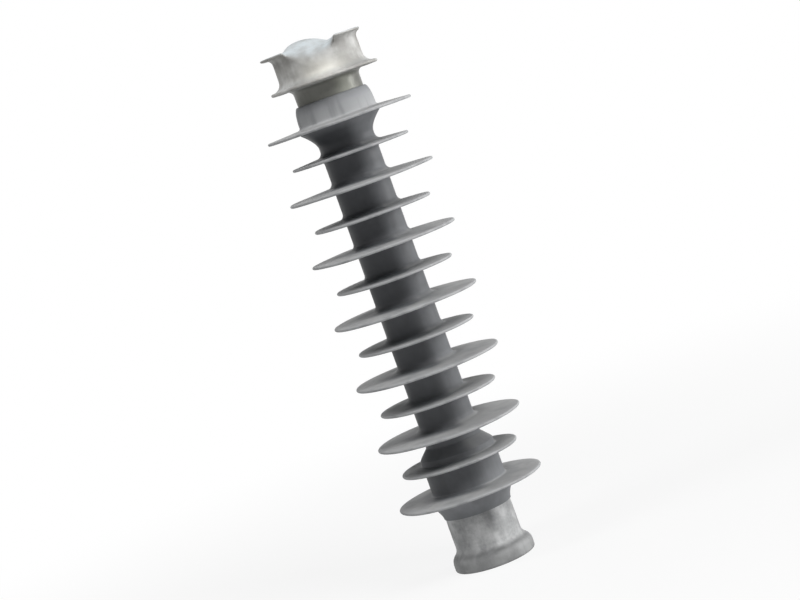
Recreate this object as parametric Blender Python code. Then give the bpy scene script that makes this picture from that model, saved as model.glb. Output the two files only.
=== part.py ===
"""Composite line post insulator with a tie-top head, standing upright on its base fitting.

A glass-fibre rod is held in the sockets of two metal end fittings. One moulded rubber
housing covers the rod and both sockets, with wide and narrow sheds in turn along it.
Lengths are in metres. Z is the insulator's axis, and the base fitting stands on z = 0.
"""
import math

import bmesh
import bpy
from mathutils import Vector

MM = 0.001

# Clearance between two pieces that touch
FIT = 0.3 * MM

# Core rod
ROD_RADIUS = 22.5 * MM
ROD_CHAMFER = 1.2 * MM

# Sleeves of the fittings, in which the rod is crimped
SLEEVE_WALL = 11.5 * MM
SLEEVE_CHAMFER = 2.5 * MM

# Seal rings in the sleeves' mouths
SEAL_WIDTH = 4.0 * MM
SEAL_HEIGHT = 4.0 * MM
SEAL_CHAMFER = 1.2 * MM

# Base fitting
BASE_BARE = 55.5 * MM  # metal in view, from the ground to the rubber
STUD_HOLE_RADIUS = 10.4 * MM
STUD_HOLE_DEPTH = 28.0 * MM
STUD_HOLE_CHAMFER = 2.0 * MM
DRILL_POINT = math.radians(31)
BASE_WEB = 5.0 * MM  # between the drilled hole's tip and the rod
RING_REACH = 7.7 * MM  # beyond the sleeve
RING_EDGE = 2.5 * MM
RING_SIDE = 7.5 * MM  # height at which the shoulder begins
RING_SHOULDER = 11.0 * MM
SHOULDER_TURN = math.radians(50)

# Rubber housing
SHEATH = 5.7 * MM  # over the rod
SHEDS = 13
SHED_PITCH = 32.5 * MM
WIDE_SHED = 46.5 * MM  # reach beyond the sheath
NARROW_SHED = 32.2 * MM
SHED_EDGE = 2.8 * MM  # thickness at the rim
SHED_ROOT = 4.8 * MM  # thickness at the sheath
SHED_SLOPE = math.radians(2.4)
UPPER_FILLET = 6.0 * MM
LOWER_FILLET = 3.5 * MM
BASE_SHED_COUNT = 2  # sheds over the base sleeve
BASE_COLLAR = 3.8 * MM  # rubber over the base sleeve
BASE_MOUTH_RISE = 6.5 * MM  # sleeve mouth above the upper of those sheds
BASE_CONE = 10.0 * MM
BASE_TAIL = 22.5 * MM  # collar below the lowest shed
BASE_FLARE = 8.4 * MM  # of the tail under that shed, beyond the collar
HEAD_COLLAR = 5.4 * MM  # rubber over the head sleeve, at the top shed
HEAD_FLARE = 1.4 * MM  # of the cone under that shed, beyond the collar
HEAD_COLLAR_RISE = 25.5 * MM  # collar above the top shed
HEAD_CONE = 20.0 * MM
COLLAR_LIP = 0.7 * MM
COLLAR_FILLET = 2.5 * MM  # at a shed that grows from a collar
COVE = 1.6  # exponent of the tapers below the end sheds

# Head fitting
HEAD_MOUTH_DROP = 4.0 * MM  # sleeve mouth below the top shed
HEAD_SOCKET_DEPTH = 57.0 * MM
HEAD_WAIST = 17.3 * MM  # metal in view below the flange
WAIST_FILLET = 5.5 * MM
TIE_NECK_RADIUS = 44.0 * MM
TIE_NECK_HEIGHT = 32.2 * MM  # between the flange and the ears
FLANGE_REACH = 11.8 * MM
FLANGE_EDGE = 3.4 * MM
FLANGE_FILLET = 9.0 * MM
EAR_REACH = 11.0 * MM
EAR_EDGE = 2.3 * MM
EAR_FILLET = 5.5 * MM
SHORT_EAR_REACH = 4.5 * MM  # of the ear that is trimmed flat
SADDLE_WIDTH = 53.0 * MM
SADDLE_OFFSET = -4.5 * MM
SADDLE_DEPTH = 17.0 * MM  # at the mouths, below the ears
SADDLE_CURVE = 2.2  # exponent of the mouths' outline
CROWN_RISE = 6.7 * MM  # of the seat's middle above the ears
CROWN_RADIUS = 46.0 * MM
CROWN_OFFSET = -12.3 * MM
CROWN_FOOT = 2.0 * MM  # of the crown's low side, below the ears
CROWN_EASE = 8.0  # exponent with which the crown meets the ears

# Facets
SEGMENTS = 36
SADDLE_COLUMNS = 7  # on each side of the saddle's middle
SADDLE_STATIONS = (0.0, 0.3, 0.55, 0.78, 1.0)  # shares of the way to the mouth

# Radii and heights that follow
SOCKET_RADIUS = ROD_RADIUS + FIT
SHEATH_RADIUS = SOCKET_RADIUS + SHEATH
SLEEVE_RADIUS = SOCKET_RADIUS + SLEEVE_WALL
BORE_RADIUS = SLEEVE_RADIUS + FIT
LIP_RADIUS = BORE_RADIUS + COLLAR_LIP
BASE_COLLAR_RADIUS = BORE_RADIUS + BASE_COLLAR
HEAD_COLLAR_RADIUS = BORE_RADIUS + HEAD_COLLAR
SEAL_RADIUS = SOCKET_RADIUS + SEAL_WIDTH
SEAL_BORE = SEAL_RADIUS + FIT
SEAL_SEAT = SEAL_HEIGHT + FIT
RING_RADIUS = SLEEVE_RADIUS + RING_REACH
FLANGE_RADIUS = TIE_NECK_RADIUS + FLANGE_REACH
EAR_RADIUS = TIE_NECK_RADIUS + EAR_REACH

STUD_HOLE_TIP = STUD_HOLE_DEPTH + STUD_HOLE_RADIUS * math.tan(DRILL_POINT)
BASE_SOCKET_Z = STUD_HOLE_TIP + BASE_WEB
LOWEST_SHED_Z = BASE_BARE + BASE_TAIL
BASE_MOUTH_Z = LOWEST_SHED_Z + (BASE_SHED_COUNT - 1) * SHED_PITCH + BASE_MOUTH_RISE
TOP_SHED_Z = LOWEST_SHED_Z + (SHEDS - 1) * SHED_PITCH
COLLAR_TOP_Z = TOP_SHED_Z + HEAD_COLLAR_RISE
HEAD_MOUTH_Z = TOP_SHED_Z - HEAD_MOUTH_DROP
HEAD_SOCKET_Z = HEAD_MOUTH_Z + HEAD_SOCKET_DEPTH
FLANGE_Z = COLLAR_TOP_Z + HEAD_WAIST
FLANGE_TOP_Z = FLANGE_Z + FLANGE_EDGE
EAR_Z = FLANGE_TOP_Z + TIE_NECK_HEIGHT
EAR_TOP_Z = EAR_Z + EAR_EDGE


def material(name, color, roughness, metallic=0.0):
    """A plain Principled surface."""
    made = bpy.data.materials.new(name)
    made.use_nodes = True
    made.diffuse_color = (*color, 1.0)
    shader = made.node_tree.nodes["Principled BSDF"]
    shader.inputs["Base Color"].default_value = (*color, 1.0)
    shader.inputs["Roughness"].default_value = roughness
    shader.inputs["Metallic"].default_value = metallic
    return made


def finish(name, shape, surface):
    """Makes the object from a closed shape, smooth on its rounds and crisp at its edges."""
    bmesh.ops.remove_doubles(shape, verts=shape.verts, dist=0.01 * MM)
    bmesh.ops.recalc_face_normals(shape, faces=shape.faces)
    mesh = bpy.data.meshes.new(name)
    shape.to_mesh(mesh)
    shape.free()
    if surface:
        mesh.materials.append(surface)
    mesh.shade_smooth()
    mesh.set_sharp_from_angle(angle=math.radians(32))
    made = bpy.data.objects.new(name, mesh)
    bpy.context.scene.collection.objects.link(made)
    return made


def turned(name, profile, surface):
    """Spins (radius, height) points about Z. A profile that starts off the axis is a closed loop."""
    shape = bmesh.new()
    verts = [shape.verts.new((r, 0.0, z)) for r, z in profile]
    edges = [shape.edges.new(pair) for pair in zip(verts, verts[1:])]
    if profile[0][0] > 0.0:
        edges.append(shape.edges.new((verts[-1], verts[0])))
    bmesh.ops.spin(
        shape,
        geom=verts + edges,
        cent=Vector(),
        axis=Vector((0.0, 0.0, 1.0)),
        angle=math.tau,
        steps=SEGMENTS,
        use_merge=True,
    )
    return finish(name, shape, surface)


def loft(name, sections):
    """A closed solid through sections that have equal numbers of points."""
    shape = bmesh.new()
    rows = [[shape.verts.new(point) for point in section] for section in sections]
    for row, after in zip(rows, rows[1:]):
        for i in range(len(row)):
            j = (i + 1) % len(row)
            shape.faces.new((row[i], row[j], after[j], after[i]))
    shape.faces.new(rows[0])
    shape.faces.new(rows[-1])
    bmesh.ops.triangulate(shape, faces=shape.faces)
    return finish(name, shape, None)


def cut(piece, cutter):
    """Takes the cutter out of the piece, and keeps it as a wire guide."""
    cutter.hide_render = True
    cutter.display_type = "WIRE"
    boolean = piece.modifiers.new(cutter.name, "BOOLEAN")
    boolean.operation = "DIFFERENCE"
    boolean.solver = "EXACT"
    boolean.object = cutter


def arc(r, z, radius, start, end, steps):
    """Points of an arc round (r, z). Angles are in degrees, from straight out towards straight up."""
    turns = [math.radians(start + (end - start) * i / steps) for i in range(steps + 1)]
    return [(r + radius * math.cos(turn), z + radius * math.sin(turn)) for turn in turns]


def cove(wide, high, narrow, low, steps):
    """Points of a hollow taper from a wide radius down to a narrow one."""
    shares = [i / steps for i in range(steps + 1)]
    return [
        (narrow + (wide - narrow) * (1 - share) ** COVE, high + (low - high) * share)
        for share in shares
    ]


def barrel(narrow, high, wide, low, steps):
    """Points of a quarter ellipse, from level at its narrow top to upright at its wide foot."""
    turns = [math.pi / 2 * i / steps for i in range(steps + 1)]
    return [
        (narrow + (wide - narrow) * math.sin(turn), low + (high - low) * math.cos(turn))
        for turn in turns
    ]


def core_rod(surface):
    """The pultruded rod, from one socket's end to the other's."""
    bottom = BASE_SOCKET_Z + FIT
    top = HEAD_SOCKET_Z - FIT
    profile = [
        (0.0, bottom),
        (ROD_RADIUS - ROD_CHAMFER, bottom),
        (ROD_RADIUS, bottom + ROD_CHAMFER),
        (ROD_RADIUS, top - ROD_CHAMFER),
        (ROD_RADIUS - ROD_CHAMFER, top),
        (0.0, top),
    ]
    return turned("core_rod", profile, surface)


def seal_ring(name, low, surface):
    """A rubber ring round the rod, in the counterbore of a sleeve's mouth."""
    high = low + SEAL_HEIGHT
    profile = [
        (SOCKET_RADIUS, low),
        (SEAL_RADIUS - SEAL_CHAMFER, low),
        (SEAL_RADIUS, low + SEAL_CHAMFER),
        (SEAL_RADIUS, high - SEAL_CHAMFER),
        (SEAL_RADIUS - SEAL_CHAMFER, high),
        (SOCKET_RADIUS, high),
    ]
    return turned(name, profile, surface)


def shed(height, reach, above, below, upper, lower):
    """Profile of a shed, from the rubber above it, round its rim, to the rubber below it."""
    edge = SHED_EDGE / 2
    rim = SHEATH_RADIUS + reach - edge
    lean = math.degrees(SHED_SLOPE)

    def face(r, side):
        share = (rim - r) / reach
        thick = edge + (SHED_ROOT / 2 - edge) * share
        return height + (rim - r) * math.tan(SHED_SLOPE) + side * thick

    top = above + upper
    under = below + lower
    return (
        arc(top, face(top, 1) + upper, upper, 180, 270 - lean, 2)
        + arc(rim, height, edge, 90 - lean, -90 - lean, 2)
        + arc(under, face(under, -1) - lower, lower, 90 - lean, 180, 1)
    )


def housing(surface):
    """Sheath, sheds and both end collars, moulded in one piece over the rod and the sleeves."""
    # Barrel over the head sleeve, from its lip down to the top shed's fillet
    foot = TOP_SHED_Z + SHED_ROOT / 2 + WIDE_SHED * math.tan(SHED_SLOPE) + COLLAR_FILLET
    outside = barrel(LIP_RADIUS, COLLAR_TOP_Z, HEAD_COLLAR_RADIUS, foot, 4)[:-1]

    # Room between one shed's upper fillet and the shed above it
    shed_top = SHED_ROOT / 2 + WIDE_SHED * math.tan(SHED_SLOPE) + UPPER_FILLET
    room = SHED_PITCH - shed_top - SHED_ROOT / 2

    for i in range(SHEDS):
        height = TOP_SHED_Z - i * SHED_PITCH
        reach = NARROW_SHED if i % 2 else WIDE_SHED
        on_base = SHEDS - i <= BASE_SHED_COUNT
        root = BASE_COLLAR_RADIUS if on_base else SHEATH_RADIUS
        if SHEDS - i == BASE_SHED_COUNT:
            # Cone by which the sheath widens over the base sleeve
            foot = BASE_MOUTH_Z + FIT + BASE_COLLAR / 2
            cone = min(BASE_CONE, height + room - foot + shed_top - LOWER_FILLET)
            outside += [(SHEATH_RADIUS, foot + cone * 1.15), (SHEATH_RADIUS + cone * 0.15, foot + cone * 0.9)]
            outside += [(root - BASE_COLLAR * 0.1, foot + cone * 0.06)]
        if i == 0:
            wide = HEAD_COLLAR_RADIUS + HEAD_FLARE
            outside += shed(height, reach, HEAD_COLLAR_RADIUS, wide, COLLAR_FILLET, COLLAR_LIP)
            outside.pop()
            cone = min(HEAD_CONE, room)
            outside += cove(wide, height - SHED_ROOT / 2, SHEATH_RADIUS, height - cone, 4)
        elif i == SHEDS - 1:
            wide = root + BASE_FLARE
            outside += shed(height, reach, root, wide, COLLAR_FILLET, COLLAR_LIP)
            outside.pop()
            outside += cove(wide, height - SHED_ROOT / 2, LIP_RADIUS, BASE_BARE, 4)
        else:
            upper = COLLAR_FILLET if on_base else UPPER_FILLET
            outside += shed(height, reach, root, root, upper, LOWER_FILLET)

    # Bore, from the collar's lower end up to its top
    base_mouth = BASE_MOUTH_Z + FIT
    head_mouth = HEAD_MOUTH_Z - FIT
    inside = [
        (BORE_RADIUS, BASE_BARE),
        (BORE_RADIUS, base_mouth - SLEEVE_CHAMFER),
        (BORE_RADIUS - SLEEVE_CHAMFER, base_mouth),
        (SOCKET_RADIUS, base_mouth),
        (SOCKET_RADIUS, head_mouth),
        (BORE_RADIUS - SLEEVE_CHAMFER, head_mouth),
        (BORE_RADIUS, head_mouth + SLEEVE_CHAMFER),
        (BORE_RADIUS, COLLAR_TOP_Z),
    ]
    return turned("housing", outside + inside, surface)


def base_fitting(surface):
    """Sleeve with a foot ring, a rod socket from above and a stud hole from below."""
    turn = SHOULDER_TURN
    hollow = 1 - math.cos(turn)
    shoulder = min(RING_SHOULDER, 0.8 * RING_REACH / hollow)
    shoulder_r = RING_RADIUS - shoulder
    fillet = (shoulder_r + shoulder * math.cos(turn) - SLEEVE_RADIUS) / hollow
    fillet_z = RING_SIDE + (shoulder + fillet) * math.sin(turn)
    degrees = math.degrees(turn)
    profile = [
        (0.0, STUD_HOLE_TIP),
        (STUD_HOLE_RADIUS, STUD_HOLE_DEPTH),
        (STUD_HOLE_RADIUS, STUD_HOLE_CHAMFER),
        (STUD_HOLE_RADIUS + STUD_HOLE_CHAMFER, 0.0),
    ]
    profile += arc(RING_RADIUS - RING_EDGE, RING_EDGE, RING_EDGE, -90, 0, 2)
    profile += arc(shoulder_r, RING_SIDE, shoulder, 0, degrees, 3)
    profile += arc(SLEEVE_RADIUS + fillet, fillet_z, fillet, 180 + degrees, 180, 3)[1:]
    profile += [
        (SLEEVE_RADIUS, BASE_MOUTH_Z - SLEEVE_CHAMFER),
        (SLEEVE_RADIUS - SLEEVE_CHAMFER, BASE_MOUTH_Z),
        (SEAL_BORE, BASE_MOUTH_Z),
        (SEAL_BORE, BASE_MOUTH_Z - SEAL_SEAT),
        (SOCKET_RADIUS, BASE_MOUTH_Z - SEAL_SEAT),
        (SOCKET_RADIUS, BASE_SOCKET_Z),
        (0.0, BASE_SOCKET_Z),
    ]
    return turned("base_fitting", profile, surface)


def saddle_height(x, y):
    """Height of the head's top: flat ears, and between them a seat from its crown to two mouths."""
    across = abs(x - SADDLE_OFFSET) / (SADDLE_WIDTH / 2)
    if across >= 0.999:
        return EAR_TOP_Z
    mouth = -SADDLE_DEPTH * (1 - across**SADDLE_CURVE)
    fall = CROWN_RADIUS - math.sqrt(max(0.0, CROWN_RADIUS**2 - (x - CROWN_OFFSET) ** 2))
    crown = max(CROWN_RISE - fall, -CROWN_FOOT) * (1 - across**CROWN_EASE)
    along = min(1.0, abs(y) / TIE_NECK_RADIUS)
    return EAR_TOP_Z + crown + (mouth - crown) * along**2


def saddle_cutter():
    """Everything above the head's top, lofted along the saddle from mouth to mouth."""
    clear = 1.3 * max(EAR_RADIUS, FLANGE_RADIUS)
    ceiling = EAR_TOP_Z + 4 * abs(CROWN_RISE) + EAR_REACH
    turns = [math.pi / 2 * i / SADDLE_COLUMNS for i in range(-SADDLE_COLUMNS, SADDLE_COLUMNS + 1)]
    columns = [SADDLE_OFFSET + SADDLE_WIDTH / 2 * math.sin(turn) for turn in turns]
    shares = [-s for s in SADDLE_STATIONS[:0:-1]] + list(SADDLE_STATIONS)
    stations = [-clear] + [share * TIE_NECK_RADIUS for share in shares] + [clear]
    sections = []
    for y in stations:
        edge = [(-clear, y, EAR_TOP_Z)]
        edge += [(x, y, saddle_height(x, y)) for x in columns]
        edge += [(clear, y, EAR_TOP_Z), (clear, y, ceiling), (-clear, y, ceiling)]
        sections.append(edge)
    return loft("saddle_cutter", sections)


def trim_cutter():
    """Block beyond the flat side of the short ear."""
    near = TIE_NECK_RADIUS + SHORT_EAR_REACH
    far = near + EAR_RADIUS
    low = (FLANGE_TOP_Z + EAR_Z) / 2
    high = EAR_TOP_Z + EAR_REACH
    sections = [
        [(near, y, low), (far, y, low), (far, y, high), (near, y, high)]
        for y in (-EAR_RADIUS, EAR_RADIUS)
    ]
    return loft("trim_cutter", sections)


def head_fitting(surface):
    """Sleeve, flange, tie neck and two ears with the conductor's saddle between them."""
    edge = FLANGE_EDGE / 2
    ear_edge = EAR_EDGE / 3
    blank = EAR_TOP_Z + 2 * abs(CROWN_RISE)
    profile = [
        (0.0, HEAD_SOCKET_Z),
        (SOCKET_RADIUS, HEAD_SOCKET_Z),
        (SOCKET_RADIUS, HEAD_MOUTH_Z + SEAL_SEAT),
        (SEAL_BORE, HEAD_MOUTH_Z + SEAL_SEAT),
        (SEAL_BORE, HEAD_MOUTH_Z),
        (SLEEVE_RADIUS - SLEEVE_CHAMFER, HEAD_MOUTH_Z),
        (SLEEVE_RADIUS, HEAD_MOUTH_Z + SLEEVE_CHAMFER),
    ]
    profile += arc(SLEEVE_RADIUS + WAIST_FILLET, FLANGE_Z - WAIST_FILLET, WAIST_FILLET, 180, 90, 2)
    profile += arc(FLANGE_RADIUS - edge, FLANGE_Z + edge, edge, -90, 90, 4)
    profile += arc(
        TIE_NECK_RADIUS + FLANGE_FILLET, FLANGE_TOP_Z + FLANGE_FILLET, FLANGE_FILLET, 270, 180, 4
    )[1:]
    profile += arc(TIE_NECK_RADIUS + EAR_FILLET, EAR_Z - EAR_FILLET, EAR_FILLET, 180, 90, 3)
    profile += [
        (EAR_RADIUS - ear_edge, EAR_Z),
        (EAR_RADIUS, EAR_Z + ear_edge),
        (EAR_RADIUS, blank),
        (0.0, blank),
    ]
    head = turned("head_fitting", profile, surface)
    cut(head, saddle_cutter())
    cut(head, trim_cutter())
    return head


def main():
    for old in list(bpy.data.objects):
        bpy.data.objects.remove(old, do_unlink=True)

    zinc = material("galvanised_casting", (0.42, 0.42, 0.40), 0.48, 0.75)
    rubber = material("silicone_rubber", (0.25, 0.26, 0.27), 0.55)
    fibre = material("glass_fibre_rod", (0.62, 0.60, 0.42), 0.35)
    seal = material("seal_rubber", (0.03, 0.03, 0.03), 0.6)

    base_fitting(zinc)
    core_rod(fibre)
    seal_ring("base_seal_ring", BASE_MOUTH_Z - SEAL_HEIGHT, seal)
    housing(rubber)
    seal_ring("head_seal_ring", HEAD_MOUTH_Z, seal)
    head_fitting(zinc)


main()
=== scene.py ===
"""Composite line post insulator with a tie-top head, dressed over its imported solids."""
import math

import bpy
from mathutils import Matrix, Vector, noise


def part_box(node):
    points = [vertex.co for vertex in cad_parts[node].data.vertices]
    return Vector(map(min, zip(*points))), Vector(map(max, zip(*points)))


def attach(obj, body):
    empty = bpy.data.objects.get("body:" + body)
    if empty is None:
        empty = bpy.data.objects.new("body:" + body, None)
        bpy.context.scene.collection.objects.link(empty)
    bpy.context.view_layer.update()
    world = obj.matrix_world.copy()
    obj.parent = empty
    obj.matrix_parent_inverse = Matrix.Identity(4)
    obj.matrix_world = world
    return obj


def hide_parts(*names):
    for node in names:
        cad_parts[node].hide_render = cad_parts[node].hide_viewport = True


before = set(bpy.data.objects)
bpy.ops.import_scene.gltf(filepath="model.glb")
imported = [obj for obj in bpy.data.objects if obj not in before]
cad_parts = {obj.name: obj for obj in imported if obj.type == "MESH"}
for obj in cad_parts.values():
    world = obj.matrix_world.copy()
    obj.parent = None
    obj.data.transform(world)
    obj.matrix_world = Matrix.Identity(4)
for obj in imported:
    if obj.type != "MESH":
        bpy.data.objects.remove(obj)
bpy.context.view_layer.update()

# Base fitting: one hot-dip galvanised forging with a rounded foot ring. The rod is crimped into
# its sleeve from above, and a mounting stud screws into the tapped hole below.

MM = 0.001
STEPS = 160
MERGE = 0.002 * MM
SHARP = math.radians(35)
GAP = 0.3 * MM
SOCKET = 22.8 * MM
SLEEVE = 34.3 * MM
SLEEVE_CHAMFER = 2.5 * MM
SEAL_BORE = 27.1 * MM
SEAL_SEAT = 4.3 * MM
BASE_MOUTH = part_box("base_fitting")[1][2]
BASE_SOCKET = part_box("core_rod")[0][2] - GAP
RING = 42.0 * MM
RING_EDGE = 2.5 * MM
RING_SIDE = 7.5 * MM
SHOULDER = 11.0 * MM
SHOULDER_TURN = 50
HOLE = 10.4 * MM
HOLE_DEPTH = 28.0 * MM
HOLE_CHAMFER = 2.0 * MM
DRILL_TIP = 31
HOLE_TIP = HOLE_DEPTH + HOLE * math.tan(math.radians(DRILL_TIP))
ON_WALL = 0.01 * MM
THREAD_PITCH = 3.0 * MM
THREAD_DEPTH = 1.5 * MM
THREAD_START = 0.9 * HOLE_CHAMFER
FORGED_INSIDE = 30 * MM
FORGED_TOP = 60 * MM
FORGED_FADE = 6 * MM


def arc(r, z, radius, start, end, steps):
    """Points of an arc round (r, z), in degrees from straight out towards straight up."""
    turns = [math.radians(start + (end - start) * i / steps) for i in range(steps + 1)]
    return [(r + radius * math.cos(turn), z + radius * math.sin(turn)) for turn in turns]


def line(start, end, steps):
    """Evenly spaced points from start to end, without the end."""
    shares = [i / steps for i in range(steps)]
    return [tuple(a + (b - a) * share for a, b in zip(start, end)) for share in shares]


def turned(name, outline):
    """A piece whose outline is extruded point by point and then spun about the axis."""
    bpy.ops.object.select_all(action="DESELECT")
    bpy.ops.mesh.primitive_plane_add(size=MM)
    made = bpy.context.object
    made.name = made.data.name = name
    bpy.ops.object.mode_set(mode="EDIT")
    bpy.ops.mesh.select_mode(type="VERT")
    bpy.ops.mesh.select_all(action="SELECT")
    bpy.ops.mesh.merge(type="CENTER")
    bpy.ops.transform.translate(value=(outline[0][0], 0, outline[0][1]))
    for (r, z), (next_r, next_z) in zip(outline, outline[1:]):
        move = (next_r - r, 0, next_z - z)
        bpy.ops.mesh.extrude_vertices_move(TRANSFORM_OT_translate={"value": move})
    bpy.ops.mesh.select_all(action="SELECT")
    bpy.ops.mesh.spin(steps=STEPS, angle=math.tau, center=(0, 0, 0), axis=(0, 0, 1), dupli=False)
    bpy.ops.mesh.select_all(action="SELECT")
    bpy.ops.mesh.remove_doubles(threshold=MERGE)
    bpy.ops.mesh.normals_make_consistent(inside=False)
    bpy.ops.object.mode_set(mode="OBJECT")
    bpy.ops.object.shade_smooth_by_angle(angle=SHARP)
    return made


def dent(piece, depth, size, seed, weight):
    """Pushes the skin in and out by soft noise, where weight(point) lets it."""
    shift = Vector((seed, -seed, 2 * seed))
    moves = [
        vert.normal * (depth * weight(vert.co) * noise.noise(vert.co / size + shift))
        for vert in piece.data.vertices
    ]
    for vert, move in zip(piece.data.vertices, moves):
        vert.co += move


def forged_skin(point):
    """1 on the forging's outside, less towards its machined underside, and 0 inside it."""
    outside = point.z < FORGED_TOP and point.xy.length > FORGED_INSIDE
    return min(1, point.z / FORGED_FADE) * outside


shoulder_hollow = 1 - math.cos(math.radians(SHOULDER_TURN))
shoulder_out = RING - SHOULDER * shoulder_hollow
neck_fillet = (shoulder_out - SLEEVE) / shoulder_hollow
neck_z = RING_SIDE + (SHOULDER + neck_fillet) * math.sin(math.radians(SHOULDER_TURN))
outline = line((0, HOLE_TIP), (HOLE, HOLE_DEPTH), 6)
outline += line((HOLE, HOLE_DEPTH), (HOLE, HOLE_CHAMFER), 84)
outline += line((HOLE, HOLE_CHAMFER), (HOLE + HOLE_CHAMFER, 0), 3)
outline += line((HOLE + HOLE_CHAMFER, 0), (RING - RING_EDGE, 0), 8)
outline += arc(RING - RING_EDGE, RING_EDGE, RING_EDGE, -90, 0, 8)
outline += line((RING, RING_EDGE), (RING, RING_SIDE), 6)[1:]
outline += arc(RING - SHOULDER, RING_SIDE, SHOULDER, 0, SHOULDER_TURN, 12)
outline += arc(SLEEVE + neck_fillet, neck_z, neck_fillet, 180 + SHOULDER_TURN, 180, 10)[1:]
outline += line((SLEEVE, neck_z), (SLEEVE, BASE_MOUTH - SLEEVE_CHAMFER), 40)[1:]
outline += [(SLEEVE, BASE_MOUTH - SLEEVE_CHAMFER), (SLEEVE - SLEEVE_CHAMFER, BASE_MOUTH)]
outline += [(SEAL_BORE, BASE_MOUTH), (SEAL_BORE, BASE_MOUTH - SEAL_SEAT)]
outline += [(SOCKET, BASE_MOUTH - SEAL_SEAT), (SOCKET, BASE_SOCKET), (0, BASE_SOCKET)]
base = turned("base_fitting_skin", outline)

# Tapped thread: the hole's wall opens and closes along a helix
for vert in base.data.vertices:
    x, y, z = vert.co
    if abs(math.hypot(x, y) - HOLE) < ON_WALL and z > THREAD_START:
        turn = z / THREAD_PITCH - math.atan2(y, x) / math.tau
        groove = 1 - abs(2 * (turn % 1) - 1)
        run_out = min(1, (HOLE_DEPTH - z) / THREAD_PITCH)
        vert.co.xy *= 1 + THREAD_DEPTH / HOLE * groove * run_out

# The forging's skin is a little uneven, in wide hollows and in small ones
for depth, size, seed in ((0.45 * MM, 17 * MM, 3.1), (0.14 * MM, 5 * MM, 8.7)):
    dent(base, depth, size, seed, forged_skin)


def add(tree, kind, inputs=None, **settings):
    """A node with its settings, and with each input set or linked."""
    made = tree.nodes.new(kind)
    for name, value in settings.items():
        setattr(made, name, value)
    for key, value in (inputs or {}).items():
        if isinstance(value, bpy.types.NodeSocket):
            tree.links.new(value, made.inputs[key])
        else:
            made.inputs[key].default_value = value
    return made


def math_node(tree, operation, a, b=0.5, clamp=False):
    """The output of one Math node."""
    return add(tree, "ShaderNodeMath", {0: a, 1: b}, operation=operation, use_clamp=clamp).outputs[0]


def times(tree, value, factor):
    """A value times another value or a number."""
    return math_node(tree, "MULTIPLY", value, factor)


def axis_of(tree, vector, axis):
    """The X, Y or Z of a vector."""
    return add(tree, "ShaderNodeSeparateXYZ", {0: vector}).outputs[axis]


def along_axis(tree, point, share):
    """A point whose height counts for a share of itself, which draws a pattern out along the axis."""
    return add(tree, "ShaderNodeMapping", {"Vector": point, "Scale": (1.0, 1.0, share)}).outputs[0]


def remap(tree, value, low, high, to_low=0.0, to_high=1.0):
    """The output of a smooth Map Range node."""
    inputs = {"Value": value, "From Min": low, "From Max": high, "To Min": to_low, "To Max": to_high}
    return add(tree, "ShaderNodeMapRange", inputs, interpolation_type="SMOOTHSTEP").outputs["Result"]


def blend(tree, factor, a, b):
    """The colour output of a Mix node."""
    return add(tree, "ShaderNodeMix", {0: factor, 6: a, 7: b}, data_type="RGBA").outputs[2]


def rgb(red, green, blue):
    """A colour from its 0 to 255 values as seen, in linear light."""
    return tuple(((v / 255 + 0.055) / 1.055) ** 2.4 for v in (red, green, blue)) + (1.0,)


def noise_at(tree, point, scale, detail=4.0, rough=0.55):
    """The value of a Noise node."""
    inputs = {"Vector": point, "Scale": scale, "Detail": detail, "Roughness": rough}
    return add(tree, "ShaderNodeTexNoise", inputs).outputs["Fac"]


def group(name, inputs, outputs):
    """An empty node group, with its input and output sockets."""
    tree = bpy.data.node_groups.new(name, "ShaderNodeTree")
    for label, kind, value in inputs:
        socket = tree.interface.new_socket(label, in_out="INPUT", socket_type=kind)
        if value is not None:
            socket.default_value = value
    for label in outputs:
        tree.interface.new_socket(label, in_out="OUTPUT", socket_type="NodeSocketFloat")
    return tree, add(tree, "NodeGroupInput").outputs, add(tree, "NodeGroupOutput").inputs


def use(tree, made, inputs):
    """The outputs of a node group that is used in a material."""
    return add(tree, "ShaderNodeGroup", inputs, node_tree=made).outputs


# Patches: cloudy areas, specks in them, and runs that follow the axis
patches, given, result = group(
    "patches",
    [("Point", "NodeSocketVector", None), ("Scale", "NodeSocketFloat", 40.0)],
    ["Cloud", "Speck", "Runs"],
)
cloud = noise_at(patches, given["Point"], given["Scale"])
speck = noise_at(patches, given["Point"], times(patches, given["Scale"], 9.0), 3.0)
drawn = along_axis(patches, given["Point"], 0.12)
runs = noise_at(patches, drawn, times(patches, given["Scale"], 2.2), 3.0)
spreads = (("Cloud", cloud, 0.36, 0.66), ("Speck", speck, 0.35, 0.68), ("Runs", runs, 0.42, 0.68))
for label, value, low, high in spreads:
    patches.links.new(remap(patches, value, low, high), result[label])

# Faces that look up, broken by noise: where dust lies, and where painted light and shade are laid
upward_dust_and_light, given, result = group(
    "upward_dust_and_light",
    [("Point", "NodeSocketVector", None), ("Scale", "NodeSocketFloat", 60.0)],
    ["Dust"],
)
up = axis_of(upward_dust_and_light, add(upward_dust_and_light, "ShaderNodeNewGeometry").outputs["Normal"], "Z")
upward = remap(upward_dust_and_light, up, 0.25, 0.95)
broken = noise_at(upward_dust_and_light, given["Point"], given["Scale"], 5.0)
broken = remap(upward_dust_and_light, broken, 0.3, 0.62, 0.45, 1.0)
upward_dust_and_light.links.new(times(upward_dust_and_light, upward, broken), result["Dust"])

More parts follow.
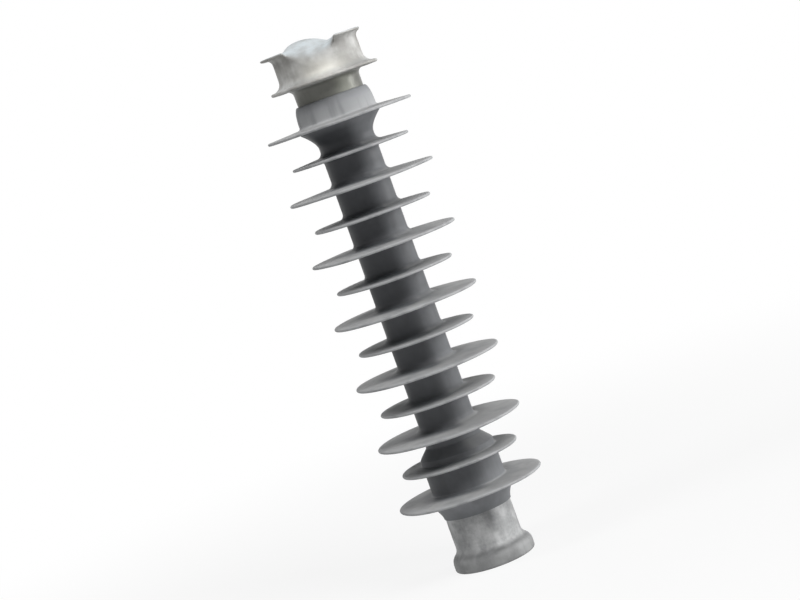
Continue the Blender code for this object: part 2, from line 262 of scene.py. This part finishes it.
# Streak: a soft upright streak round the plane x = Middle, between two heights
streak, given, result = group(
    "streak",
    [
        ("Point", "NodeSocketVector", None),
        ("Middle", "NodeSocketFloat", 0.0),
        ("Half", "NodeSocketFloat", 10 * MM),
        ("Low", "NodeSocketFloat", 0.0),
        ("High", "NodeSocketFloat", 50 * MM),
        ("Fade", "NodeSocketFloat", 6 * MM),
    ],
    ["Streak"],
)
wavy = times(streak, noise_at(streak, given["Point"], 90.0, 3.0), 0.4)
aside = math_node(streak, "SUBTRACT", axis_of(streak, given["Point"], "X"), given["Middle"])
aside = math_node(streak, "DIVIDE", math_node(streak, "ABSOLUTE", aside), given["Half"])
aside = math_node(streak, "ADD", aside, math_node(streak, "SUBTRACT", wavy, 0.2))
height = axis_of(streak, given["Point"], "Z")
rise = math_node(streak, "SUBTRACT", height, given["Low"])
rise = math_node(streak, "DIVIDE", rise, given["Fade"], clamp=True)
fall = math_node(streak, "SUBTRACT", given["High"], height)
fall = math_node(streak, "DIVIDE", fall, given["Fade"], clamp=True)
upright = remap(streak, times(streak, rise, fall), 0.0, 1.0)
across = remap(streak, aside, 1.0, 0.0)
streak.links.new(times(streak, across, upright), result["Streak"])


def streak_at(tree, point, middle, half, low, high, fade):
    """How strong an upright streak is at a point."""
    inputs = {"Point": point, "Middle": middle, "Half": half, "Low": low, "High": high, "Fade": fade}
    return use(tree, streak, inputs)["Streak"]


def grain_at(tree, point, scale, specks, share):
    """The height of a fine grain with a share of larger specks."""
    return math_node(tree, "ADD", noise_at(tree, point, scale, 3.0), times(tree, specks, share))


def finish_material(name, metallic, specular=0.5):
    """A new material, with its tree, its shader and its Object coordinates."""
    made = bpy.data.materials.new(name)
    made.use_nodes = True
    tree = made.node_tree
    shader = tree.nodes["Principled BSDF"]
    shader.inputs["Metallic"].default_value = metallic
    shader.inputs["Specular IOR Level"].default_value = specular
    return made, tree, shader, add(tree, "ShaderNodeTexCoord").outputs["Object"]


def bump(tree, shader, height, distance, strength):
    """Feeds a height to the shader's normal."""
    inputs = {"Height": height, "Distance": distance, "Strength": strength}
    tree.links.new(add(tree, "ShaderNodeBump", inputs).outputs["Normal"], shader.inputs["Normal"])


zinc, tree, shader, point = finish_material("galvanised_forging", 0.2, 0.3)
tone = use(tree, patches, {"Point": point, "Scale": 46.0})
dust_and_painted_light = use(tree, upward_dust_and_light, {"Point": point, "Scale": 70.0})["Dust"]
color = blend(tree, tone["Cloud"], rgb(154, 155, 156), rgb(200, 201, 201))
color = blend(tree, times(tree, tone["Runs"], 0.35), color, rgb(128, 129, 129))
color = blend(tree, times(tree, tone["Speck"], 0.2), color, rgb(205, 206, 206))
# A painted highlight runs up the lit right side of the sleeve, and a dull streak lies beside it
painted_side_highlight = streak_at(tree, point, middle=21 * MM, half=17 * MM, low=21 * MM, high=64 * MM, fade=9 * MM)
color = blend(tree, times(tree, painted_side_highlight, 0.25), color, rgb(204, 205, 205))
dull = streak_at(tree, point, middle=8 * MM, half=7 * MM, low=30 * MM, high=64 * MM, fade=6 * MM)
color = blend(tree, times(tree, dull, 0.6), color, rgb(108, 109, 110))
# The foot ring is duller, and painted shade darkens faces that look up, most of all the shoulder under
# the lowest shed
height = axis_of(tree, point, "Z")
color = blend(tree, remap(tree, height, 26 * MM, 10 * MM, 0.0, 0.7), color, rgb(126, 127, 127))
color = blend(tree, times(tree, dust_and_painted_light, 0.8), color, rgb(100, 101, 101))
tree.links.new(color, shader.inputs["Base Color"])
tree.links.new(remap(tree, tone["Cloud"], 0.0, 1.0, 0.78, 0.64), shader.inputs["Roughness"])
bump(tree, shader, grain_at(tree, point, 900.0, tone["Speck"], 0.8), 0.10 * MM, 0.6)
base.data.materials.append(zinc)
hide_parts("base_fitting")
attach(base, "root")

# Core rod: pultruded glass fibre in resin, with its fibres along the axis. It is crimped into both
# sleeves, and the rubber is moulded over it, so none of it is in view.


def dress(node, material):
    """Gives a solid of the frame its material."""
    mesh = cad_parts[node].data
    mesh.materials.clear()
    mesh.materials.append(material)


fibre, tree, shader, point = finish_material("glass_fibre_rod", 0.0)
strands = noise_at(tree, along_axis(tree, point, 0.01), 1400.0, 4.0, 0.7)
color = blend(tree, strands, rgb(176, 172, 132), rgb(216, 212, 178))
tree.links.new(color, shader.inputs["Base Color"])
tree.links.new(remap(tree, strands, 0.2, 0.8, 0.45, 0.28), shader.inputs["Roughness"])
bump(tree, shader, strands, 0.04 * MM, 0.5)
dress("core_rod", fibre)

# Seal rings: black moulded rubber, pressed into the mouths of both sleeves round the rod, where
# they keep water out of the crimped joints.

seal, tree, shader, point = finish_material("seal_rubber", 0.0, 0.4)
tone = use(tree, patches, {"Point": point, "Scale": 120.0})
color = blend(tree, tone["Cloud"], rgb(24, 24, 25), rgb(44, 44, 45))
tree.links.new(color, shader.inputs["Base Color"])
tree.links.new(remap(tree, tone["Speck"], 0.0, 1.0, 0.5, 0.7), shader.inputs["Roughness"])
bump(tree, shader, tone["Speck"], 0.03 * MM, 0.5)
dress("base_seal_ring", seal)
dress("head_seal_ring", seal)

# Housing: one moulding of grey silicone rubber over the rod and both sleeves. Wide and narrow sheds
# follow in turn, with a barrel-shaped collar over the head sleeve and a straight one at the base.

SHEATH = 28.5 * MM
BORE = SLEEVE + GAP
LIP = BORE + 0.7 * MM
BASE_COLLAR = BORE + 3.8 * MM
HEAD_COLLAR = BORE + 5.4 * MM
HEAD_FLARE = 1.4 * MM
SHEDS = 13
PITCH = 32.5 * MM
WIDE = 46.5 * MM
NARROW = 32.2 * MM
EDGE = 1.4 * MM
ROOT = 2.4 * MM
LEAN = 2.4
SLOPE = math.tan(math.radians(LEAN))
UPPER = 6.0 * MM
LOWER = 3.5 * MM
COLLAR_FILLET = 2.5 * MM
FLARE_FILLET = 0.7 * MM
COLLAR_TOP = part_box("housing")[1][2]
TOP_SHED = COLLAR_TOP - 25.5 * MM
TAIL_SHED = TOP_SHED - (SHEDS - 1) * PITCH
HEAD_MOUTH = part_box("head_fitting")[0][2]
BASE_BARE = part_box("housing")[0][2]
HEAD_CONE = 20.0 * MM
TAIL_FLARE = 8.4 * MM
COVE = 1.6
COLLAR_LOOPS = 8 * MM

# The base cone's height and its seat over the sleeve's mouth, and its rounded ends: steps out from
# the sheath and in from the collar, each with a share of the cone's height
BASE_CONE = 10.0 * MM
CONE_SEAT = 1.9 * MM
CONE_TOP = ((0, 1.15), (0.4 * MM, 1.02), (1.5 * MM, 0.9))
CONE_FOOT = ((0.9 * MM, 0.12), (0.25 * MM, 0.02))

WAVE = 0.55 * MM
WAVE_SIZE = 60 * MM
WAVE_SEED = 3.7

# Chalk with painted sheen on the rims, painted light on the barrel, and how far each reaches
RIM_CHALK_AND_SHEEN = 0.75
RIM_FADE = 16 * MM
BARREL_PAINTED_LIGHT = 0.8
BARREL_FADE = 18 * MM

# Painted shade on the tail, on the base collar and up the sheath, and how much of it the lit side loses
TAIL_SHELTER = 0.1
COLLAR_SHELTER = 0.85
LOW_SHELTER = 0.55
MORE_SHELTER = 0.8
MORE_HEIGHT = 10 * PITCH
SHELTER_OUT = 56 * MM
SHELTER_FADE = 15 * MM
FLANGE_SHELTER = 0.6
SHADE_FADE = 9 * MM
LIT_SIDE_SHARE = 0.8
LIT_SIDE_FROM = 0.1
LIT_SIDE_FADE = 0.35


def cove(wide, high, narrow, low, steps):
    """Points of a hollow taper from a wide radius down to a narrow one."""
    shares = [i / steps for i in range(steps + 1)]
    return [
        (narrow + (wide - narrow) * (1 - share) ** COVE, high + (low - high) * share)
        for share in shares
    ]


def barrel(narrow, high, wide, low, steps):
    """Points of a quarter ellipse, from level at its narrow top to upright at its wide foot."""
    turns = [math.pi / 2 * i / steps for i in range(steps + 1)]
    return [
        (narrow + (wide - narrow) * math.sin(turn), low + (high - low) * math.cos(turn))
        for turn in turns
    ]


def cone(foot):
    """Points of the cone that leads from the sheath out to the base collar."""
    top = [(SHEATH + out, foot + BASE_CONE * share) for out, share in CONE_TOP]
    end = [(BASE_COLLAR - back, foot + BASE_CONE * share) for back, share in CONE_FOOT]
    return top[:-1] + line(top[-1], end[0], 6) + end[1:]


def shed(height, reach, above, below, upper, lower):
    """Outline of a shed, from the rubber above it, round its rim, to the rubber below it."""
    rim = SHEATH + reach - EDGE

    def face(r, side):
        share = (rim - r) / reach
        return height + (rim - r) * SLOPE + side * (EDGE + (ROOT - EDGE) * share)

    top = above + upper
    under = below + lower
    points = arc(top, face(top, 1) + upper, upper, 180, 270 - LEAN, 6)
    points += line(points[-1], (rim, face(rim, 1)), 8)[1:]
    points += arc(rim, height, EDGE, 90 - LEAN, -90 - LEAN, 8)
    points += line(points[-1], (under, face(under, -1)), 8)[1:]
    return points + arc(under, face(under, -1) - lower, lower, 90 - LEAN, 180, 4)


foot = TOP_SHED + ROOT + WIDE * SLOPE + COLLAR_FILLET
outline = barrel(LIP, COLLAR_TOP, HEAD_COLLAR, foot, 18)[:-1]
for i in range(SHEDS):
    height = TOP_SHED - i * PITCH
    reach = NARROW if i % 2 else WIDE
    if i == 0:
        flare = HEAD_COLLAR + HEAD_FLARE
        outline += shed(height, reach, HEAD_COLLAR, flare, COLLAR_FILLET, FLARE_FILLET)[:-1]
        outline += cove(flare, height - ROOT, SHEATH, height - HEAD_CONE, 14)
    elif i == SHEDS - 2:
        outline += cone(BASE_MOUTH + GAP + CONE_SEAT)
        outline += shed(height, reach, BASE_COLLAR, BASE_COLLAR, COLLAR_FILLET, LOWER)
    elif i == SHEDS - 1:
        flare = BASE_COLLAR + TAIL_FLARE
        outline += line(outline[-1], (BASE_COLLAR, height + COLLAR_LOOPS), 4)[1:]
        outline += shed(height, reach, BASE_COLLAR, flare, COLLAR_FILLET, FLARE_FILLET)[:-1]
        outline += cove(flare, height - ROOT, LIP, BASE_BARE, 12)
    else:
        points = shed(height, reach, SHEATH, SHEATH, UPPER, LOWER)
        outline += line(outline[-1], points[0], 5)[1:] + points
base_mouth = BASE_MOUTH + GAP
head_mouth = HEAD_MOUTH - GAP
outline += [(BORE, BASE_BARE), (BORE, base_mouth - SLEEVE_CHAMFER), (BORE - SLEEVE_CHAMFER, base_mouth)]
outline += [(SOCKET, base_mouth), (SOCKET, head_mouth), (BORE - SLEEVE_CHAMFER, head_mouth)]
outline += [(BORE, head_mouth + SLEEVE_CHAMFER), (BORE, COLLAR_TOP), outline[0]]
housing = turned("housing_skin", outline)

# Each shed sags and lifts a little round its rim, as soft rubber does
for vert in housing.data.vertices:
    x, y, z = vert.co
    out = max(0.0, math.hypot(x, y) - SHEATH) / WIDE
    number = round((TOP_SHED - z) / PITCH)
    wave = noise.noise(Vector((x / WAVE_SIZE, y / WAVE_SIZE, number * WAVE_SEED)))
    vert.co.z += WAVE * out * wave


def held(value):
    """A value held between 0 and 1."""
    return min(1, max(0, value))


def chalk_and_light_at(z, radius):
    """How much chalk and painted light the rubber has at a point."""
    reach = NARROW if round((TOP_SHED - z) / PITCH) % 2 else WIDE
    rim = RIM_CHALK_AND_SHEEN - (SHEATH + reach - radius) / RIM_FADE
    on_barrel = z > TOP_SHED and radius < HEAD_COLLAR + COLLAR_FILLET
    # On the barrel this is painted light, growing downwards from under the flange
    barrel_side = BARREL_PAINTED_LIGHT * (COLLAR_TOP - z) / BARREL_FADE if on_barrel else 0
    return held(max(rim, barrel_side))


def painted_shade_at(x, z, radius):
    """How much painted shade a point has in the shelter of the sheds or of the flange."""
    depth = LOW_SHELTER + MORE_SHELTER * min(1, (z - TAIL_SHED) / MORE_HEIGHT)
    if z < TAIL_SHED:
        depth = TAIL_SHELTER
    elif TAIL_SHED < z < TAIL_SHED + PITCH:
        depth = COLLAR_SHELTER
    depth *= held((TOP_SHED - z) / SHADE_FADE)
    # The right side is painted as lit, so it keeps less of the painted shade
    depth *= 1 - LIT_SIDE_SHARE * held((x / radius - LIT_SIDE_FROM) / LIT_SIDE_FADE)
    inner = held((SHELTER_OUT - radius) / SHELTER_FADE)
    under_flange = held(1 - (COLLAR_TOP - z) / SHADE_FADE)
    return max(inner * depth, FLANGE_SHELTER * under_flange)


# The rubber is chalked pale grey on the rims, with painted sheen there, and painted light lightens the
# barrel. Painted shade darkens it under the flange and in the sheds' shelter, less on the lit right
# side
chalk_and_painted_light = housing.data.attributes.new("chalk_and_painted_light", "FLOAT", "POINT")
painted_shade = housing.data.attributes.new("painted_shade", "FLOAT", "POINT")
for vert in housing.data.vertices:
    x, y, z = vert.co
    radius = math.hypot(x, y)
    chalk_and_painted_light.data[vert.index].value = chalk_and_light_at(z, radius)
    painted_shade.data[vert.index].value = painted_shade_at(x, z, radius)

rubber, tree, shader, point = finish_material("silicone_rubber", 0.0, 0.2)
tone = use(tree, patches, {"Point": point, "Scale": 26.0})
dust_and_painted_light = use(tree, upward_dust_and_light, {"Point": point, "Scale": 38.0})["Dust"]
chalk_and_light = add(tree, "ShaderNodeAttribute", attribute_name="chalk_and_painted_light").outputs["Fac"]
shade_share = add(tree, "ShaderNodeAttribute", attribute_name="painted_shade").outputs["Fac"]
color = blend(tree, tone["Cloud"], rgb(122, 124, 127), rgb(138, 140, 143))
color = blend(tree, times(tree, tone["Runs"], 0.3), color, rgb(108, 109, 110))
# Dust and painted light lie on faces that look up, less in the painted shade; runs washed some chalk
# off
out_of_painted_shade = remap(tree, shade_share, 0.0, 0.7, 0.7, 0.1)
color = blend(tree, times(tree, dust_and_painted_light, out_of_painted_shade), color, rgb(182, 182, 181))
lasting = remap(tree, tone["Runs"], 0.0, 1.0, 0.95, 0.5)
# Chalk with painted sheen on the rims, and painted light on the barrel, lighten the rubber
color = blend(tree, times(tree, chalk_and_light, lasting), color, rgb(182, 183, 184))
# Painted shade: the sheltered rubber is darkened towards a dark grey
color = blend(tree, times(tree, shade_share, 0.45), color, rgb(60, 62, 66))
tree.links.new(color, shader.inputs["Base Color"])
rough = remap(tree, tone["Cloud"], 0.0, 1.0, 0.52, 0.64)
matte = times(tree, math_node(tree, "SUBTRACT", chalk_and_light, shade_share), 0.1)
tree.links.new(math_node(tree, "ADD", rough, matte), shader.inputs["Roughness"])
grain = grain_at(tree, point, 700.0, tone["Speck"], 0.6)
# The mould's two halves leave a fine seam down both sides
aside = math_node(tree, "ABSOLUTE", axis_of(tree, point, "Y"))
seam = remap(tree, aside, 0.25 * MM, 0.6 * MM, 5.0, 0.0)
bump(tree, shader, math_node(tree, "ADD", grain, seam), 0.05 * MM, 0.5)
housing.data.materials.append(rubber)
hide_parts("housing")
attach(housing, "root")

# Head fitting: one galvanised iron casting. Its sleeve is crimped on the rod, the tie wire lies in
# the neck between flange and ears, and the conductor lies over the saddle between the ears.

HEAD_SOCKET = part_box("core_rod")[1][2] + GAP
FLANGE = COLLAR_TOP + 17.3 * MM
FLANGE_OUT = 55.8 * MM
FLANGE_HALF = 1.7 * MM
GROOVE = FLANGE + 2 * FLANGE_HALF
TIE_NECK = 44.0 * MM
FLANGE_FILLET = 9.0 * MM
WAIST_FILLET = 5.5 * MM
EARS = GROOVE + 32.2 * MM
EAR_OUT = 55.0 * MM
EAR_EDGE = 2.3 * MM
EAR_CHAMFER = 0.9 * MM
EAR_TOP = EARS + EAR_EDGE
EAR_FILLET = 5.5 * MM
SHORT_EAR = 48.5 * MM
EAR_CUT = (60 * MM, 120 * MM, 30 * MM)
SADDLE_MIDDLE = -4.5 * MM
SADDLE_HALF = 26.5 * MM
SADDLE_DEPTH = 17.0 * MM
SADDLE_POWER = 2.2
SIDE_POWER = 8
CROWN_RISE = 6.7 * MM
CROWN = 46.0 * MM
CROWN_MIDDLE = -12.3 * MM
CROWN_FOOT = 2.0 * MM
MOUTH_ROUND = 6.5 * MM
SPARE = 12 * MM
CUTTER = 140 * MM
CUTTER_RISE = 50 * MM
VOXEL = 0.95 * MM
CAST_INSIDE = 28 * MM


def saddle(x, y):
    """Height of the head's top at a point."""
    across = abs(x - SADDLE_MIDDLE) / SADDLE_HALF
    if across >= 1:
        return EAR_TOP
    side = 1 - across**SIDE_POWER
    mouth = -SADDLE_DEPTH * (1 - across**SADDLE_POWER)
    fall = CROWN - math.sqrt(CROWN**2 - (x - CROWN_MIDDLE) ** 2)
    crown = max(CROWN_RISE - fall, -CROWN_FOOT) * side
    along = min(1.0, abs(y) / TIE_NECK)
    beyond = min(MOUTH_ROUND, max(0.0, math.hypot(x, y) - TIE_NECK + MOUTH_ROUND))
    drop = (MOUTH_ROUND - math.sqrt(MOUTH_ROUND**2 - beyond**2)) * side
    return EAR_TOP + crown + (mouth - crown) * along**2 - drop


def cast_skin(point):
    """1 on the casting's outside above the rubber, and 0 inside it."""
    return float(point.xy.length > CAST_INSIDE and point.z > COLLAR_TOP)


outline = [(0, HEAD_SOCKET), (SOCKET, HEAD_SOCKET), (SOCKET, HEAD_MOUTH + SEAL_SEAT)]
outline += [(SEAL_BORE, HEAD_MOUTH + SEAL_SEAT), (SEAL_BORE, HEAD_MOUTH)]
outline += [(SLEEVE - SLEEVE_CHAMFER, HEAD_MOUTH), (SLEEVE, HEAD_MOUTH + SLEEVE_CHAMFER)]
outline += arc(SLEEVE + WAIST_FILLET, FLANGE - WAIST_FILLET, WAIST_FILLET, 180, 90, 8)
outline += arc(FLANGE_OUT - FLANGE_HALF, FLANGE + FLANGE_HALF, FLANGE_HALF, -90, 90, 8)
outline += arc(TIE_NECK + FLANGE_FILLET, GROOVE + FLANGE_FILLET, FLANGE_FILLET, 270, 180, 10)[1:]
outline += arc(TIE_NECK + EAR_FILLET, EARS - EAR_FILLET, EAR_FILLET, 180, 90, 8)
outline += [(EAR_OUT - EAR_CHAMFER, EARS), (EAR_OUT, EARS + EAR_CHAMFER)]
outline += [(EAR_OUT, EAR_TOP + SPARE), (0, EAR_TOP + SPARE)]
head = turned("head_fitting_skin", outline)

# The saddle's cutter: a fine grid lifted to the head's top, and drawn up into a block
bpy.ops.object.select_all(action="DESELECT")
bpy.ops.mesh.primitive_grid_add(x_subdivisions=140, y_subdivisions=100, size=CUTTER, location=(0, 0, 0))
above = bpy.context.object
above.name = "above_saddle"
for vert in above.data.vertices:
    vert.co.z = saddle(vert.co.x, vert.co.y)
bpy.ops.object.mode_set(mode="EDIT")
bpy.ops.mesh.select_all(action="SELECT")
bpy.ops.mesh.extrude_region_move(TRANSFORM_OT_translate={"value": (0, 0, CUTTER_RISE)})
bpy.ops.mesh.select_all(action="SELECT")
bpy.ops.mesh.normals_make_consistent(inside=False)
bpy.ops.object.mode_set(mode="OBJECT")

# The flat side of the short ear
bpy.ops.mesh.primitive_cube_add(size=1, location=(SHORT_EAR + EAR_CUT[0] / 2, 0, EARS))
past = bpy.context.object
past.name = "past_ear"
past.scale = EAR_CUT
bpy.ops.object.transform_apply(location=False, rotation=False, scale=True)

bpy.ops.object.select_all(action="DESELECT")
head.select_set(True)
bpy.context.view_layer.objects.active = head
for cutter in (above, past):
    cutting = head.modifiers.new(cutter.name, "BOOLEAN")
    cutting.operation = "DIFFERENCE"
    cutting.solver = "MANIFOLD"
    cutting.object = cutter
    bpy.ops.object.modifier_apply(modifier=cutting.name)
    bpy.data.objects.remove(cutter)

# The sand mould rounds every edge of the casting and leaves its skin a little uneven
remesh = head.modifiers.new("mould", "REMESH")
remesh.mode = "VOXEL"
remesh.voxel_size = VOXEL
bpy.ops.object.modifier_apply(modifier=remesh.name)
smooth = head.modifiers.new("rounding", "SMOOTH")
smooth.factor = 0.5
smooth.iterations = 4
bpy.ops.object.modifier_apply(modifier=smooth.name)
bpy.ops.object.shade_smooth()
dent(head, 0.35 * MM, 16 * MM, 5.3, cast_skin)

cast, tree, shader, point = finish_material("galvanised_casting", 0.22, 0.35)
tone = use(tree, patches, {"Point": point, "Scale": 38.0})
dust_and_painted_light = use(tree, upward_dust_and_light, {"Point": point, "Scale": 60.0})["Dust"]
height = axis_of(tree, point, "Z")
color = blend(tree, tone["Cloud"], rgb(156, 155, 152), rgb(190, 190, 188))
color = blend(tree, times(tree, tone["Runs"], 0.3), color, rgb(132, 130, 124))
# A warm painted highlight lies over the flange and groove under both of the saddle's mouths
low = GROOVE - 8 * MM
high = GROOVE + 22 * MM
painted_groove_highlight = streak_at(tree, point, middle=2 * MM, half=36 * MM, low=low, high=high, fade=16 * MM)
color = blend(tree, times(tree, painted_groove_highlight, 0.7), color, rgb(232, 230, 221))
# Painted shade darkens the waist under the flange, and painted light brightens a stretch of it on the
# right
painted_waist_shade = remap(tree, height, FLANGE + 0.5 * MM, FLANGE - 2.5 * MM, 0.0, 0.8)
color = blend(tree, painted_waist_shade, color, rgb(76, 77, 68))
painted_lit_side = streak_at(tree, point, middle=16 * MM, half=13 * MM, low=HEAD_MOUTH, high=FLANGE, fade=4 * MM)
color = blend(tree, times(tree, painted_lit_side, 0.6), color, rgb(158, 160, 150))
# A pale bluish painted reflection of the sky, with some dust, lies on the crown and in the saddle
crown = remap(tree, height, EAR_TOP - 16 * MM, EAR_TOP - 6 * MM, 0.1, 0.8)
color = blend(tree, times(tree, dust_and_painted_light, crown), color, rgb(220, 229, 234))
tree.links.new(color, shader.inputs["Base Color"])
rough = remap(tree, tone["Cloud"], 0.0, 1.0, 0.74, 0.60)
rough = math_node(tree, "SUBTRACT", rough, times(tree, painted_waist_shade, 0.28))
tree.links.new(rough, shader.inputs["Roughness"])
bump(tree, shader, grain_at(tree, point, 800.0, tone["Speck"], 0.8), 0.08 * MM, 0.6)
head.data.materials.clear()
head.data.materials.append(cast)
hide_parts("head_fitting")
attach(head, "root")

# Floor: a plain pale studio floor under the insulator. The camera and all reflections see its own
# glow, which hides the horizon and leaves a light shadow at the foot.

FLOOR_SIZE = 60
FLOOR_GLOW = 0.86
GLOW_NEAR = 0.25
GLOW_FAR = 1.3


def seen_white(tree):
    """1 for the rays of the camera, of gloss and of glass, which see the white of the studio."""
    path = add(tree, "ShaderNodeLightPath").outputs
    either = math_node(tree, "MAXIMUM", path["Is Camera Ray"], path["Is Transmission Ray"])
    return math_node(tree, "MAXIMUM", either, path["Is Glossy Ray"])


bpy.ops.object.select_all(action="DESELECT")
bpy.ops.mesh.primitive_plane_add(size=FLOOR_SIZE, location=(0, 0, 0))
floor = bpy.context.object
floor.name = "floor"
paper, tree, shader, point = finish_material("studio_floor", 0.0, 0.1)
shader.inputs["Roughness"].default_value = 0.9
shader.inputs["Base Color"].default_value = (0.8, 0.8, 0.8, 1)
glow = add(tree, "ShaderNodeEmission", {"Color": (1, 1, 1, 1), "Strength": 1.0})
away = add(tree, "ShaderNodeVectorMath", {0: point}, operation="LENGTH").outputs["Value"]
share = times(tree, remap(tree, away, GLOW_NEAR, GLOW_FAR, FLOOR_GLOW, 1.0), seen_white(tree))
mixed = add(tree, "ShaderNodeMixShader", {0: share, 1: shader.outputs[0], 2: glow.outputs[0]})
tree.links.new(mixed.outputs[0], tree.nodes["Material Output"].inputs["Surface"])
floor.data.materials.append(paper)

# Light: a soft key lamp from the upper right in front, a low one from the right, a weak one from the
# upper left, and a dim sky that shows white behind the object.

AIM = Vector((0, 0, 0.28))
SKY = 0.12


def lamp(name, place, size, watts):
    """A square area lamp that faces the insulator."""
    data = bpy.data.lights.new(name, "AREA")
    data.shape = "SQUARE"
    data.size = size
    data.energy = watts
    made = bpy.data.objects.new(name, data)
    made.location = place
    made.rotation_euler = (AIM - Vector(place)).to_track_quat("-Z", "Y").to_euler()
    bpy.context.scene.collection.objects.link(made)


lamp("key_lamp", (1.3, -1.7, 2.0), 1.1, 49)
lamp("right_lamp", (3.0, 0.25, 0.4), 1.4, 70)
lamp("left_lamp", (-1.5, -0.5, 2.2), 0.9, 18)
world = bpy.data.worlds.new("sky")
bpy.context.scene.world = world
world.use_nodes = True
tree = world.node_tree
strength = remap(tree, seen_white(tree), 0.0, 1.0, SKY, 1.0)
tree.links.new(strength, tree.nodes["Background"].inputs["Strength"])
tree.nodes["Background"].inputs["Color"].default_value = (1, 1, 1, 1)

# Camera: in front, as high as the barrel and looking a little down, and rolled so that the insulator
# leans to the left.

DISTANCE = 2.3
ASIDE = -3.3 * MM
CAMERA_HEIGHT = 0.4865
LOOK_HEIGHT = 0.2795
ROLL = math.radians(19.65)
LENS = 104.1
SENSOR = 36

camera = bpy.data.objects.new("camera", bpy.data.cameras.new("camera"))
bpy.context.scene.collection.objects.link(camera)
camera.data.lens = LENS
camera.data.sensor_width = SENSOR
place = Vector((ASIDE, -DISTANCE, CAMERA_HEIGHT))
look = Vector((ASIDE, 0, LOOK_HEIGHT)) - place
level = look.to_track_quat("-Z", "Y").to_matrix()
camera.matrix_world = Matrix.Translation(place) @ (level @ Matrix.Rotation(-ROLL, 3, "Z")).to_4x4()
bpy.context.scene.camera = camera
bpy.context.scene.view_settings.view_transform = "Standard"
